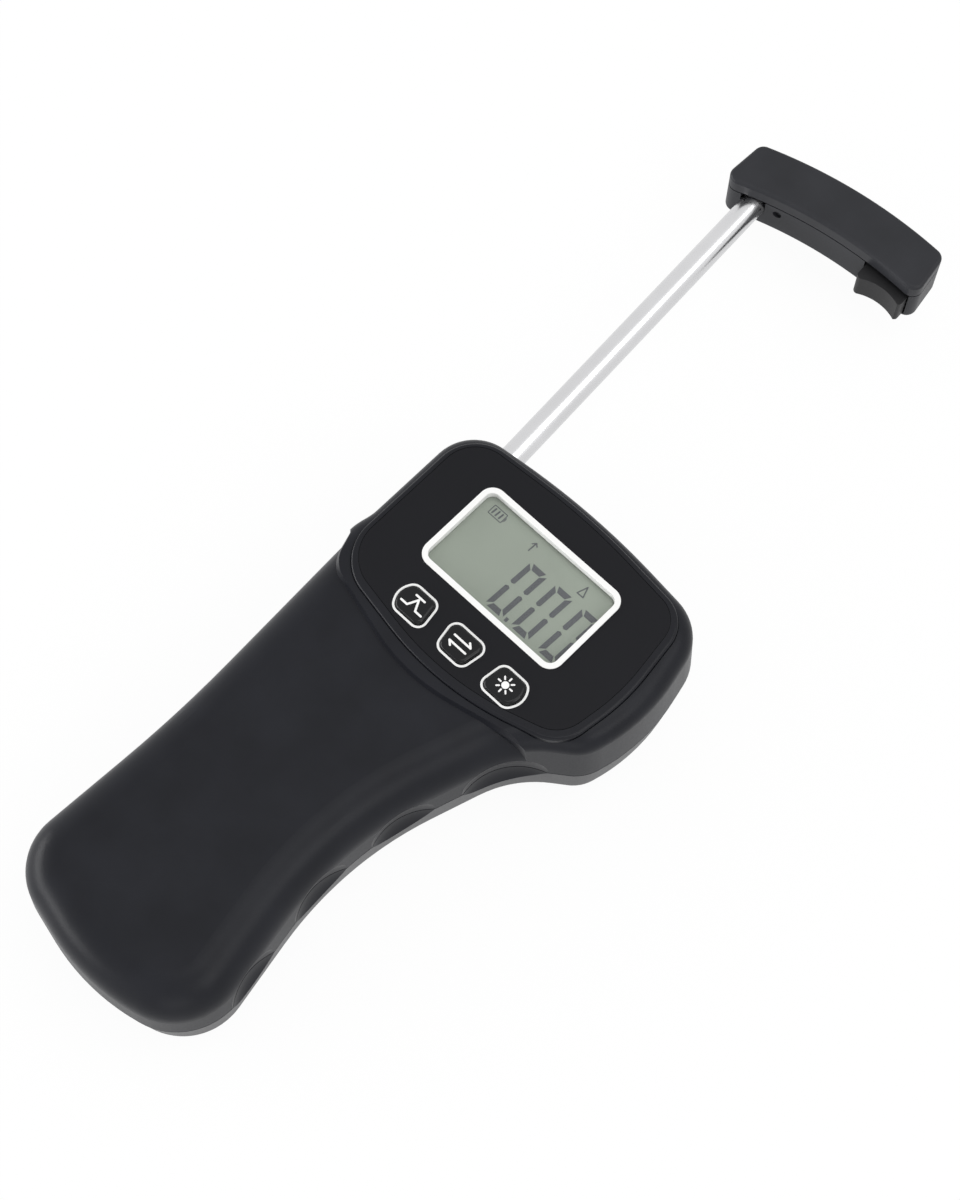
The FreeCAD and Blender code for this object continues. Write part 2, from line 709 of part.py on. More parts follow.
def back_shell():
    outside = outer_back()
    inside = HOUSING.prism(S.wall, S.part_height, -S.wall - S.back_draft, -S.wall)
    inside = inside.makeFillet(float(S.back_round - S.wall), edges_at(inside, S.wall))
    shell = outside.cut(inside.cut(scoop_balls(float(S.wall))))
    box_walls, room = battery_box()
    extras = [post(x, y, 0, S.part_height, S.pillar_radius) for x, y in CASING_SCREWS]
    extras += [post(x, y, 1, S.bracket_foot_high, 3) for x, y in bracket_seats()]
    extras += box_walls
    extras.append(bush_seat(-S.bush_radius - 2, 0))
    shell = shell.fuse([extra.common(outside) for extra in extras])
    cuts = [room, door_slot(S.door_play)]
    well = S.screw_radius * S.head_ratio + S.head_play
    cuts += [post(x, y, -1, S.screw_seat, well) for x, y in CASING_SCREWS]
    cuts += [post(x, y, 0, S.part_height + 1, S.screw_radius + 0.2) for x, y in CASING_SCREWS]
    bracket_pilot = S.bracket_screw_radius + S.screw_play
    cuts += [post(x, y, 2.2, S.bracket_foot_high + 1, bracket_pilot) for x, y in bracket_seats()]
    cuts.append(rod_bar(S.rod_radius + 0.5, -20, 6))
    cuts.append(rod_bar(S.bush_radius, -S.bush_inset - S.bush_long, -S.bush_inset))
    cuts += scoop_balls()
    cuts.append(seam_ring())
    return feature("back_shell", shell.cut(cuts))


def battery_door():
    door = door_slot(0).common(outer_back())
    ridges = []
    for number in range(5):
        y = -S.door_top - 4 - 1.8 * number
        ridges.append(block(-S.door_middle - 6, y - 0.9, -1, -S.door_middle + 6, y, 0.5))
    return feature("battery_door", door.cut(ridges))


# Face: bezel, overlay, window frame, lens and buttons

WINDOW = rounded_box_outline(S.window_long, S.window_high, S.window_round)


def display_bezel():
    plate_shape = BEZEL.prism(BEZEL_LOW, S.face_height)
    plate_shape = plate_shape.makeFillet(0.7, edges_at(plate_shape, S.face_height))
    cuts = [FACE.prism(S.face_height - S.overlay_thick, S.face_height + 1, S.fit)]
    cuts.append(WINDOW.prism(BEZEL_LOW - 1, S.face_height + 1, -S.frame_lip + S.fit))
    cuts += [outline.prism(BEZEL_LOW - 1, S.face_height + 1, S.button_play)
             for outline, middle in BUTTONS.values()]
    return feature("display_bezel", plate_shape.cut(cuts))


def face_overlay():
    film = FACE.prism(S.face_height - S.overlay_thick, S.face_height)
    cuts = [WINDOW.prism(BEZEL_LOW, S.face_height + 1, -S.frame_lip + S.fit)]
    cuts += [outline.prism(BEZEL_LOW, S.face_height + 1, S.button_play)
             for outline, middle in BUTTONS.values()]
    return feature("face_overlay", film.cut(cuts))


def window_frame():
    band = WINDOW.prism(S.face_height, S.face_height + S.frame_proud)
    skirt = WINDOW.prism(BEZEL_LOW + 0.2, S.face_height, -S.frame_lip)
    ring = band.fuse(skirt).cut(WINDOW.prism(BEZEL_LOW - 1, S.face_height + 1, -S.frame_band))
    return feature("window_frame", ring)


def display_window():
    low = BEZEL_LOW + 0.4
    return feature("display_window", WINDOW.prism(low, low + S.lens_thick, -S.frame_band - 0.05))


def button_caps():
    for name, (outline, middle) in BUTTONS.items():
        crown = S.face_height + S.button_rise
        cap = outline.prism(FLANGE_LOW, crown)
        cap = cap.makeFillet(float(S.button_rise) * 0.9, edges_at(cap, crown))
        flange = outline.prism(FLANGE_LOW, BEZEL_LOW, S.button_flange)
        feature(name + "_button", cap.fuse(flange).removeSplitter())


def switches():
    """Push switches on the board, and the plungers that go down with the caps."""
    bases = []
    top = BOARD_TOP + S.switch_high
    for name, (outline, middle) in BUTTONS.items():
        half = S.switch_side * 0.5
        base = block(middle - half, -S.button_centre_y - half, BOARD_TOP,
                     middle + half, -S.button_centre_y + half, top)
        well = post(middle, -S.button_centre_y, BOARD_TOP + 1.2, top + 1, S.plunger_radius + S.button_play)
        bases.append(base.cut(well))
        plunger = new_body(name + "_plunger")
        sketch = draw_circle(new_sketch(plunger, lift=BOARD_TOP + 1.2 + S.button_travel + 0.2), middle,
                             -S.button_centre_y, S.plunger_radius)
        pad(plunger, sketch, FLANGE_LOW - BOARD_TOP - 1.4 - S.button_travel)
        keep(plunger, name + "_plunger")
    return feature("tact_switches", Part.makeCompound(bases))


# Display stack and circuit board

def display_stack():
    half_long, half_high = S.lcd_long * 0.5, S.lcd_high * 0.5
    glass_low = BOARD_TOP + S.light_thick
    plate("lcd_panel", -half_long, -half_high, half_long, half_high, glass_low, S.lcd_thick)
    long, high = half_long - 1.5, half_high - 3
    plate("lcd_backlight", -long, -high, long, high, BOARD_TOP, S.light_thick)
    strip = new_body("lcd_connector_strip")
    sketch = draw_box(new_sketch(strip, lift=BOARD_TOP), -half_long + 1, -1, half_long - 1, 1)
    pad(strip, sketch, S.light_thick)
    rows = [FreeCAD.Placement(V(0, side * float(half_high - 1.4), 0), FreeCAD.Rotation()) for side in (-1, 1)]
    spread("lcd_connectors", strip.Shape, rows)


def main_board():
    body = new_body("main_board")
    sketch = draw_polygon(new_sketch(body, lift=BOARD_LOW), [
        (-S.board_left, -S.board_low), (S.board_right - S.board_cut, -S.board_low),
        (S.board_right, -S.board_low + S.board_cut), (S.board_right, S.board_top),
        (-S.board_left, S.board_top)])
    pad(body, sketch, S.board_thick)
    edge_round(body, upright_edges(body.Shape), S.post_inset * 0.5)
    holes = new_sketch(body, lift=BOARD_LOW)
    for x, y in BOARD_SCREWS:
        draw_circle(holes, x, y, S.board_screw_radius + 0.25)
    pocket(body, holes, S.board_thick)
    return keep(body, "main_board")


def board_chips():
    """Converter, controller and oscillator on the underside of the board."""
    side, thick = S.chip_side, S.chip_high
    chips = [(-14, 5, side * 0.8, side * 0.65), (6, -6, side, side), (20, 4, side * 0.35, side * 0.6),
             (-12, -14, side * 0.5, side * 0.35)]
    solids = []
    for x, y, long, high in chips:
        chip = block(x - long * 0.5, y - high * 0.5, BOARD_LOW - thick,
                     x + long * 0.5, y + high * 0.5, BOARD_LOW)
        solids.append(chip.makeChamfer(0.2, edges_at(chip, BOARD_LOW - thick)))
    return feature("board_chips", Part.makeCompound(solids))


def screw_shape(name, radius, length):
    """A pan head screw that points up, its head below the origin, with a square drive recess."""
    head_radius, head_high = radius * S.head_ratio, radius * S.head_high_ratio
    body = new_body(name)
    sketch = new_sketch(body, "XZ_Plane")
    draw_polygon(sketch, [
        (0, -head_high), (head_radius * 0.75, -head_high), (head_radius, -head_high * 0.45),
        (head_radius, 0), (radius, 0), (radius, length - radius * 0.5), (radius * 0.6, length), (0, length)])
    turned(body, sketch)
    drive = new_sketch(body, "XY_Plane", lift=-head_high)
    recess = radius * S.drive_ratio
    draw_box(drive, -recess, -recess, recess, recess)
    pocket(body, drive, head_high * 0.5)
    return body.Shape


def at(x, y, z):
    return FreeCAD.Placement(V(float(x), float(y), float(z)), FreeCAD.Rotation())


def fasteners():
    casing = screw_shape("casing_screw", S.screw_radius, SCREW_TOP - S.screw_seat)
    spread("casing_screws", casing, [at(x, y, S.screw_seat) for x, y in CASING_SCREWS])
    small = screw_shape("board_screw", S.board_screw_radius, S.board_thick + 3)
    spread("board_screws", small, [at(x, y, BOARD_LOW) for x, y in BOARD_SCREWS])


# Pull rod, load cell and their anchor, drawn along the rod's own axis

def pull_rod():
    shoulder = -S.cell_start + S.stop_gap
    tail = -S.cell_start - S.cell_web - S.cell_slot + 1.2
    body = new_body("pull_rod")
    sketch = new_sketch(body)
    draw_polygon(sketch, [
        (0, tail), (S.rod_tail_radius - 0.4, tail), (S.rod_tail_radius, tail + 0.4),
        (S.rod_tail_radius, shoulder), (S.rod_radius, shoulder), (S.rod_radius, ROD_END - 0.5),
        (S.rod_radius - 0.5, ROD_END), (0, ROD_END)])
    turned(body, sketch)
    cross = new_sketch(body, lift=-S.rod_radius - 1)
    draw_circle(cross, 0, ROD_END - S.pin_inset, S.pin_radius)
    pocket(body, cross, S.rod_radius * 2 + 2)
    keep(along_rod(body), "pull_rod")

    pin = new_body("rod_pin")
    pad(pin, draw_circle(new_sketch(pin, lift=-S.arm_low + 1), 0, ROD_END - S.pin_inset, S.pin_radius),
        S.arm_low - 1 + S.arm_split - 0.1)
    keep(along_rod(pin), "rod_pin")

    bush = new_body("rod_bush")
    ring = new_sketch(bush)
    bore, inner = S.rod_radius + S.rod_play, -S.bush_inset - S.bush_long
    draw_polygon(ring, [(bore, inner), (S.bush_radius, inner), (S.bush_radius, -S.bush_inset),
                        (bore, -S.bush_inset)])
    turned(bush, ring)
    keep(along_rod(bush), "rod_bush")


def rod_nut():
    across = 3.5
    corner = across / math.cos(math.radians(30))
    thick = 3
    body = new_body("rod_nut")
    low = -S.cell_start - S.cell_web - S.stop_gap - thick
    sketch = new_sketch(body, "XZ_Plane", lift=-low)
    draw_polygon(sketch, [(corner * math.cos(math.radians(60 * i)), corner * math.sin(math.radians(60 * i)))
                          for i in range(6)])
    step = pad(body, sketch, thick)
    step.Reversed = True
    hole = new_sketch(body, "XZ_Plane", lift=-low)
    draw_circle(hole, 0, 0, S.rod_tail_radius)
    pocket(body, hole, thick, reverse=False)
    return keep(along_rod(body), "rod_nut")


def load_cell():
    """An S-shaped beam: two slots from opposite sides and a bore between them."""
    half = S.cell_wide * 0.5
    top = -S.cell_start
    end = top - S.cell_long
    body = new_body("load_cell")
    low = -S.cell_thick * 0.5
    pad(body, draw_box(new_sketch(body, lift=low), -half, end, half, top), S.cell_thick)
    upper = new_sketch(body, lift=low)
    draw_box(upper, -half - 1, top - S.cell_web - S.cell_slot, half - S.cell_hinge, top - S.cell_web)
    pocket(body, upper, S.cell_thick)
    lower = new_sketch(body, lift=low)
    draw_box(lower, -half + S.cell_hinge, end + S.cell_web, half + 1, end + S.cell_web + S.cell_slot)
    pocket(body, lower, S.cell_thick)
    gauge = new_sketch(body, lift=low)
    draw_circle(gauge, 0, top - S.cell_long * 0.5, S.cell_bore)
    pocket(body, gauge, S.cell_thick)
    eye = new_sketch(body, "XZ_Plane", lift=-top)
    draw_circle(eye, 0, 0, S.rod_tail_radius + S.stop_gap)
    pocket(body, eye, S.cell_web + 0.5)
    thread = new_sketch(body, "XZ_Plane", lift=-end)
    draw_circle(thread, 0, 0, S.rod_tail_radius + S.screw_play)
    pocket(body, thread, S.cell_web + 0.5, reverse=False)
    return keep(along_rod(body), "load_cell")


def cell_anchor():
    """The angled bracket behind the load cell, its bolt and its two screws."""
    end = -S.cell_start - S.cell_long
    half = S.cell_wide * 0.5
    foot_low = S.bracket_foot_high - S.part_height
    plate_shape = block(-half, end - S.bracket_thick, foot_low, half, end, S.cell_thick * 0.5)
    foot = block(-half, end - S.bracket_thick, foot_low,
                 half, end + S.bracket_foot, foot_low + S.bracket_thick * 0.8)
    bend = plate_shape.fuse(foot).removeSplitter()
    corner = [e for e in bend.Edges if e.Length > float(S.cell_wide) - 1
              and all(abs(v.Y - float(end - S.bracket_thick)) < 1e-6 and abs(v.Z - float(foot_low)) < 1e-6
                      for v in e.Vertexes)]
    bend = bend.makeFillet(1.8, corner)
    hole_radius = float(S.rod_tail_radius + S.screw_play)
    bolt_hole = Part.makeCylinder(hole_radius, 12, V(0, float(end) - 8, 0), V(0, 1, 0))
    holes = [bolt_hole]
    for u in (-4.5, 4.5):
        holes.append(post(u, end + 6, foot_low - 1, foot_low + 5, S.bracket_screw_radius + 0.2))
    along_rod(feature("cell_bracket", bend.cut(holes)))

    bolt = new_body("anchor_bolt")
    start = end - S.bracket_thick
    sketch = new_sketch(bolt)
    draw_polygon(sketch, [
        (0, start - 2.6), (3.3, start - 2.6), (3.5, start - 2.3), (3.5, start), (S.rod_tail_radius, start),
        (S.rod_tail_radius, end + S.cell_web - 0.4), (0, end + S.cell_web - 0.4)])
    turned(bolt, sketch)
    drive = new_sketch(bolt, "XZ_Plane", lift=-start + 2.6)
    draw_polygon(drive, [(1.9 * math.cos(math.radians(60 * i)), 1.9 * math.sin(math.radians(60 * i)))
                         for i in range(6)])
    pocket(bolt, drive, 1.6, reverse=False)
    keep(along_rod(bolt), "anchor_bolt")

    shape = screw_shape("bracket_screw", S.bracket_screw_radius, S.bracket_thick * 0.8 + 3.2)
    flip = FreeCAD.Rotation(V(1, 0, 0), 180)
    level = float(S.bracket_foot_high + S.bracket_thick * 0.8)
    spread("bracket_screws", shape, [FreeCAD.Placement(V(x, y, level), flip) for x, y in bracket_seats()])


# Curved arm at the end of the rod

def arm_solid(low, high, shrink=0.0):
    """A length of the arm's curved bar between two heights, with rounded corners in plan."""
    u, v = float(S.arm_centre_u), -float(S.arm_centre_v)
    near = float(S.arm_near_radius) + shrink
    far = float(S.arm_near_radius + S.arm_deep) - shrink
    left, right = -float(S.arm_left) + shrink, float(S.arm_right) - shrink
    low, high = float(low), float(high)
    tall = high - low
    ring = Part.makeCylinder(far, tall, V(u, v, low)).cut(Part.makeCylinder(near, tall, V(u, v, low)))
    middle = v + math.sqrt(near ** 2 - (left - u) ** 2) + float(S.arm_deep) / 2
    lean = 2 * float(S.arm_slant) / float(S.arm_deep)
    start, stop = middle - 40, middle + 30
    corners = [(left + lean * (start - middle), start), (right - lean * (start - middle), start),
               (right - lean * (stop - middle), stop), (left + lean * (stop - middle), stop)]
    ends = Part.makePolygon([V(x, y, low) for x, y in corners + corners[:1]])
    bar = ring.common(Part.Face(ends).extrude(V(0, 0, tall)))
    upright = [e for e in bar.Edges if abs(e.Vertexes[0].Z - e.Vertexes[-1].Z) > tall - 1e-6]
    return bar.makeFillet(max(float(S.arm_corner) - shrink, 0.4), upright)


def near_face(u):
    """The arm's near face at one place along the arm, measured along the rod."""
    across = float(u) - float(S.arm_centre_u)
    return math.sqrt(float(S.arm_near_radius) ** 2 - across ** 2) - float(S.arm_centre_v)


ARM_SCREWS = [9.5, 25]


def arm_halves():
    rod_end = float(ROD_END)
    body = arm_solid(-S.arm_low, S.arm_split)
    body = body.makeFillet(float(S.arm_edge), edges_at(body, -S.arm_low))
    hollow = arm_solid(-S.arm_low + S.arm_wall, S.arm_split + 1, float(S.arm_wall))
    rod_block = block(-10, 60, -S.arm_low, 5, 130, S.arm_split + 1)
    saddle_block = block(S.saddle_left - S.saddle_side_gap - 2, 60, -S.arm_low, 60, 130, S.arm_split + 1)
    hollow = hollow.cut([rod_block, saddle_block])
    bosses = []
    for u in ARM_SCREWS:
        bosses.append(post(u, near_face(u) + float(S.arm_deep) / 2, -S.arm_low, S.arm_split, 2.6))
    body = body.cut(hollow).fuse(bosses).removeSplitter()
    middle = near_face((S.saddle_left + S.saddle_right) * 0.5)
    recess = block(S.saddle_left - S.saddle_side_gap, 60, -S.arm_low + S.saddle_floor,
                   S.saddle_right + S.saddle_side_gap, middle + float(S.saddle_deep), S.arm_split + 1)
    bore = Part.makeCylinder(float(S.rod_radius) + 0.05, rod_end - 60, V(0, 60, 0), V(0, 1, 0))
    channel = block(-S.rod_radius - 0.05, 60, 0, S.rod_radius + 0.05, rod_end, S.arm_split + 1)
    pin_hole = post(0, rod_end - float(S.pin_inset), -S.arm_low + 1, S.arm_split + 1, S.pin_radius)
    cuts = [recess, bore, channel, pin_hole]
    mark = near_face(6.2)
    cuts.append(Part.makeCylinder(1.1, 1.6, V(6.2, mark - 0.8, 0.6), V(0, 1, 0)))
    for u in ARM_SCREWS:
        v = near_face(u) + float(S.arm_deep) / 2
        well = S.arm_screw_radius * S.head_ratio + S.head_play
        cuts.append(post(u, v, -S.arm_low - 1, -S.arm_low + 2.2, well))
        cuts.append(post(u, v, -S.arm_low - 1, S.arm_split + 1, S.arm_screw_radius + 0.1))
    along_rod(feature("arm_body", body.cut(cuts)))

    cover = arm_solid(S.arm_split, S.arm_high)
    cover = cover.makeFillet(float(S.arm_edge), edges_at(cover, S.arm_high))
    groove = arm_solid(S.arm_split - 1, S.arm_split + S.arm_slit, -1).cut(
        arm_solid(S.arm_split - 1, S.arm_split + S.arm_slit, float(S.seam_depth) * 2))
    pilot = S.arm_screw_radius + S.screw_play
    pilots = [post(u, near_face(u) + float(S.arm_deep) / 2, S.arm_split - 1, S.arm_split + 2.8, pilot)
              for u in ARM_SCREWS]
    along_rod(feature("arm_cover", cover.cut([groove] + pilots)))

    shape = screw_shape("arm_screw", S.arm_screw_radius, S.arm_low + S.arm_split + 0.2)
    half = float(S.arm_deep) / 2
    places = [ROD_PLACE.multiply(at(u, near_face(u) + half, -S.arm_low + 2.2)) for u in ARM_SCREWS]
    spread("arm_screws", shape, places)


def saddle_pad():
    """The hollow-faced pad near the end of the arm, seated in the arm's recess."""
    left, right = float(S.saddle_left), float(S.saddle_right)
    middle = (left + right) / 2
    face = near_face(middle)
    low, high = float(-S.arm_low + S.saddle_floor), float(S.arm_split - S.saddle_gap)
    front = face - float(S.saddle_proud)
    pad_shape = block(left, front, low, right, face + float(S.saddle_deep), high)
    sharp = [e for e in pad_shape.Edges if abs(e.Vertexes[0].Z - e.Vertexes[1].Z) > 1
             and abs(e.Vertexes[0].Y - front) < 1e-6]
    pad_shape = pad_shape.makeFillet(1.1, sharp)
    curve = float(S.saddle_curve)
    sag = curve - math.sqrt(curve ** 2 - (middle - left - 0.9) ** 2)
    hollow = Part.makeCylinder(curve, high - low + 2, V(middle + 0.4, front - curve + sag, low - 1))
    return along_rod(feature("saddle_pad", pad_shape.cut(hollow)))


# Batteries and contacts

def batteries():
    half = S.battery_pitch * 0.5
    level = S.door_thick + S.door_play + S.battery_lift + S.cell_radius
    length = S.battery_long + S.spring_reach + S.contact_thick * 2
    end = -S.bay_start - length
    cell = new_body("battery_cell")
    can = S.battery_long - S.battery_nub
    sketch = new_sketch(cell)
    draw_polygon(sketch, [
        (0, 0), (S.cell_radius - 0.5, 0), (S.cell_radius, 0.5), (S.cell_radius, can - 0.5),
        (S.cell_radius - 0.5, can), (1.9, can), (1.9, S.battery_long), (0, S.battery_long)])
    turned(cell, sketch)
    start = end + S.contact_thick + S.spring_reach
    top = -S.bay_start - S.contact_thick - S.spring_reach
    turn = FreeCAD.Rotation(V(0, 0, 1), 180)
    left = FreeCAD.Placement(V(float(-S.door_middle - half), float(start), float(level)), FreeCAD.Rotation())
    right = FreeCAD.Placement(V(float(-S.door_middle + half), float(top), float(level)), turn)
    spread("battery_cells", cell.Shape, [left, right])

    plates, springs = [], []
    size = 4.2
    for place, plus, minus in ((-half, -1, 1), (half, 1, -1)):
        x = float(-S.door_middle + place)
        z = float(level)
        for sign in (plus, minus):
            wall_y = float(-S.bay_start) if sign == -1 else float(end)
            inner = wall_y + sign * float(S.contact_thick)
            sheet = block(x - size, min(wall_y, inner), z - size, x + size, max(wall_y, inner), z + size)
            if sign == plus:
                plates.append(sheet)
                continue
            reach = float(S.spring_reach)
            thick = float(S.contact_thick)
            radius = ((size - 0.5) ** 2 + reach ** 2) / (2 * reach)
            axis_end, axis = V(x - 2, inner + sign * (reach - radius), z), V(1, 0, 0)
            outer = Part.makeCylinder(radius, 4, axis_end, axis)
            hollow = Part.makeCylinder(radius - thick, 4, axis_end, axis)
            room = block(x - 3, min(inner, inner + sign * 9), z - size + 0.5,
                         x + 3, max(inner, inner + sign * 9), z + size - 0.5)
            leaf = outer.cut(hollow).common(room)
            springs.append(sheet.fuse(leaf).removeSplitter())
    feature("battery_plates", Part.makeCompound(plates))
    feature("battery_springs", Part.makeCompound(springs))


front_shell()
back_shell()
battery_door()
display_bezel()
face_overlay()
window_frame()
display_window()
button_caps()
switches()
display_stack()
main_board()
board_chips()
fasteners()
pull_rod()
rod_nut()
load_cell()
cell_anchor()
arm_halves()
saddle_pad()
batteries()
doc.recompute()

faults = [o.Name for o in doc.Objects if "Invalid" in o.State or "Error" in o.State]
for node, obj in NODES.items():
    if obj.Shape.isNull() or not obj.Shape.isValid() or not obj.Shape.Solids:
        faults.append(node)
if faults:
    raise ValueError("these need repair: " + ", ".join(sorted(set(faults))))

os.makedirs("parts", exist_ok=True)
for node, obj in NODES.items():
    obj.Shape.exportStep(os.path.join("parts", node + ".step"))
    print("%-18s solids %d volume %.1f" % (node, len(obj.Shape.Solids), obj.Shape.Volume))
print("pieces", len(NODES))
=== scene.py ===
"""Looks of the hand force gauge: finishes, display, key signs, light and camera.

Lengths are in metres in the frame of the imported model: +Z up out of the display, +Y along the grip
towards the rod, +X to the finger side.
"""
import logging
import math
from dataclasses import dataclass, field
from enum import Enum
from functools import cache

import bmesh
import bpy
from mathutils import Matrix, Vector


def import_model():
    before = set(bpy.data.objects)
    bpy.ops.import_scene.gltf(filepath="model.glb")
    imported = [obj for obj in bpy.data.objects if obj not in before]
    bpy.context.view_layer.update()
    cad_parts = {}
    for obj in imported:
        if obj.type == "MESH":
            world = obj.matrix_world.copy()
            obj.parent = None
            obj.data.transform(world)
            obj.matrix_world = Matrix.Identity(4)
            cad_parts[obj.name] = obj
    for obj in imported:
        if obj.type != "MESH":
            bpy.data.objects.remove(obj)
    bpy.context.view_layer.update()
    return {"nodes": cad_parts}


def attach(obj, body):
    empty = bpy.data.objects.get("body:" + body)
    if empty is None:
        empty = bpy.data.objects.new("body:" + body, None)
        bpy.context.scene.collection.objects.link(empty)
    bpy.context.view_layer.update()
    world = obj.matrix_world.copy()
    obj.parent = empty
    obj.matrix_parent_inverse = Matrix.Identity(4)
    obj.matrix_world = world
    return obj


log = logging.getLogger("force_gauge")
MM = 0.001
SMOOTH_ANGLE = 35.0
CLOUD_OCTAVES = 3
GRAIN_OCTAVES = 2
RAMP_SPAN = (0.3, 0.7)
BUMP_STRENGTH = 0.6
LEAST_ROUGHNESS = 0.02
LEAST_RADIUS = 0.05


# Finishes

@dataclass(frozen=True)
class Finish:
    """A surface with fine grain, slow colour drift and uneven gloss."""

    name: str
    colour: tuple[float, float, float]
    roughness: float
    metallic: float = 0.0
    specular: float = 0.5
    drift: float = 0.12
    grain_size: float = 0.0004
    grain_height: float = 0.00001
    gloss_drift: float = 0.06
    drift_size: float = 0.012
    coat: float = 0.0
    coat_roughness: float = 0.1
    alpha: float = 1.0
    slot: str = ""

    @cache
    def make(self) -> bpy.types.Material:
        """Build the node tree, once for each finish.

        Returns:
            The material.
        """
        material = bpy.data.materials.new(self.name)
        material.use_nodes = True
        nodes, links = material.node_tree.nodes, material.node_tree.links
        shader = nodes["Principled BSDF"]
        shader.inputs["Metallic"].default_value = self.metallic
        shader.inputs["Specular IOR Level"].default_value = self.specular
        shader.inputs["Coat Weight"].default_value = self.coat
        shader.inputs["Coat Roughness"].default_value = self.coat_roughness
        shader.inputs["Alpha"].default_value = self.alpha
        place = nodes.new("ShaderNodeTexCoord")
        cloud = self.noise(material, place, 1 / self.drift_size, CLOUD_OCTAVES)
        grain = self.noise(material, place, 1 / self.grain_size, GRAIN_OCTAVES)
        ramp = nodes.new("ShaderNodeValToRGB")
        darker, lighter = ramp.color_ramp.elements
        darker.position, lighter.position = RAMP_SPAN
        darker.color = (*(c * (1 - self.drift) for c in self.colour), 1)
        lighter.color = (*(min(c * (1 + self.drift), 1.0) for c in self.colour), 1)
        links.new(cloud.outputs["Fac"], ramp.inputs["Fac"])
        links.new(ramp.outputs["Color"], shader.inputs["Base Color"])
        gloss = nodes.new("ShaderNodeMapRange")
        least = max(self.roughness - self.gloss_drift, LEAST_ROUGHNESS)
        gloss.inputs["To Min"].default_value = least
        gloss.inputs["To Max"].default_value = self.roughness + self.gloss_drift
        links.new(grain.outputs["Fac"], gloss.inputs["Value"])
        links.new(gloss.outputs["Result"], shader.inputs["Roughness"])
        bump = nodes.new("ShaderNodeBump")
        bump.inputs["Distance"].default_value = self.grain_height
        bump.inputs["Strength"].default_value = BUMP_STRENGTH
        links.new(grain.outputs["Fac"], bump.inputs["Height"])
        links.new(bump.outputs["Normal"], shader.inputs["Normal"])
        return material

    @staticmethod
    def noise(material: bpy.types.Material, place: bpy.types.Node, scale: float,
              detail: float) -> bpy.types.Node:
        """Add one noise texture that is fixed to the object.

        Args:
            material: the material it belongs to.
            place: the texture coordinate node.
            scale: waves per metre.
            detail: octaves.

        Returns:
            The noise node.
        """
        node = material.node_tree.nodes.new("ShaderNodeTexNoise")
        node.inputs["Scale"].default_value = scale
        node.inputs["Detail"].default_value = detail
        material.node_tree.links.new(place.outputs["Object"], node.inputs["Vector"])
        return node


class Look(Enum):
    """The finishes that the pieces choose from."""

    HOUSING = Finish("housing_plastic", (0.0120, 0.0127, 0.0162), 0.36, specular=0.13, drift=0.14,
                     grain_size=0.00045)
    BEZEL = Finish("bezel_plastic", (0.0085, 0.0090, 0.0120), 0.30, specular=0.17, drift=0.10)
    FILM = Finish("overlay_film", (0.0045, 0.0047, 0.0066), 0.50, specular=0.16, drift=0.05,
                  grain_size=0.0003, grain_height=0.000003)
    WHITE = Finish("white_plastic", (0.84, 0.84, 0.83), 0.35, drift=0.02)
    INK = Finish("white_ink", (0.84, 0.84, 0.83), 0.5, drift=0.03, slot="white_plastic")
    WINDOW = Finish("window_clear", (0.95, 0.97, 0.96), 0.05, drift=0.01, gloss_drift=0.02,
                    grain_height=0.0000002, alpha=0.03)
    GLASS = Finish("display_glass", (0.240, 0.275, 0.226), 0.30, specular=0.3, drift=0.05,
                   drift_size=0.02, grain_size=0.0003, grain_height=0.000001)
    SEGMENT = Finish("display_segment", (0.046, 0.050, 0.058), 0.35, specular=0.3, drift=0.05,
                     slot="display_glass")
    KEY = Finish("button_rubber", (0.0035, 0.0037, 0.0045), 0.26, specular=0.12, coat=0.25,
                 coat_roughness=0.16)
    BOARD = Finish("board_laminate", (0.03, 0.16, 0.07), 0.4, drift=0.2)
    BLACK = Finish("black_component", (0.015, 0.015, 0.016), 0.45)
    DIFFUSER = Finish("diffuser_plastic", (0.78, 0.80, 0.78), 0.4, drift=0.03)
    STRIP = Finish("conductive_rubber", (0.20, 0.26, 0.38), 0.6)
    STEEL = Finish("polished_steel", (0.66, 0.66, 0.67), 0.22, metallic=1.0, drift=0.03,
                   gloss_drift=0.03, grain_size=0.0002, grain_height=0.000001)
    PLAIN_STEEL = Finish("plain_steel", (0.52, 0.52, 0.53), 0.35, metallic=1.0, drift=0.08)
    ALUMINIUM = Finish("cell_aluminium", (0.70, 0.71, 0.73), 0.35, metallic=1.0, drift=0.05)
    BRONZE = Finish("bush_bronze", (0.50, 0.34, 0.14), 0.35, metallic=1.0, drift=0.1)
    ARM = Finish("arm_plastic", (0.0230, 0.0238, 0.0275), 0.42, specular=0.18, grain_size=0.0005,
                 grain_height=0.000012)
    RUBBER = Finish("saddle_rubber", (0.0100, 0.0100, 0.0110), 0.5, specular=0.3)
    NICKEL = Finish("contact_nickel", (0.66, 0.66, 0.63), 0.3, metallic=1.0, drift=0.05)
    WRAP = Finish("battery_wrap", (0.20, 0.21, 0.23), 0.3, drift=0.1)


# Helpers

def smooth(obj: bpy.types.Object) -> None:
    """Shade a piece smooth, with the edges above SMOOTH_ANGLE degrees kept sharp.

    Args:
        obj: the piece.
    """
    mesh = obj.data
    work = bmesh.new()
    work.from_mesh(mesh)
    limit = math.radians(SMOOTH_ANGLE)
    for edge in work.edges:
        edge.smooth = len(edge.link_faces) == 2 and edge.calc_face_angle(0.0) < limit
    for face in work.faces:
        face.smooth = True
    work.to_mesh(mesh)
    work.free()


def dress(obj: bpy.types.Object, look: Look) -> None:
    """Give a piece its finish.

    Args:
        obj: the piece.
        look: the finish.
    """
    obj.data.materials.clear()
    obj.data.materials.append(look.value.make())


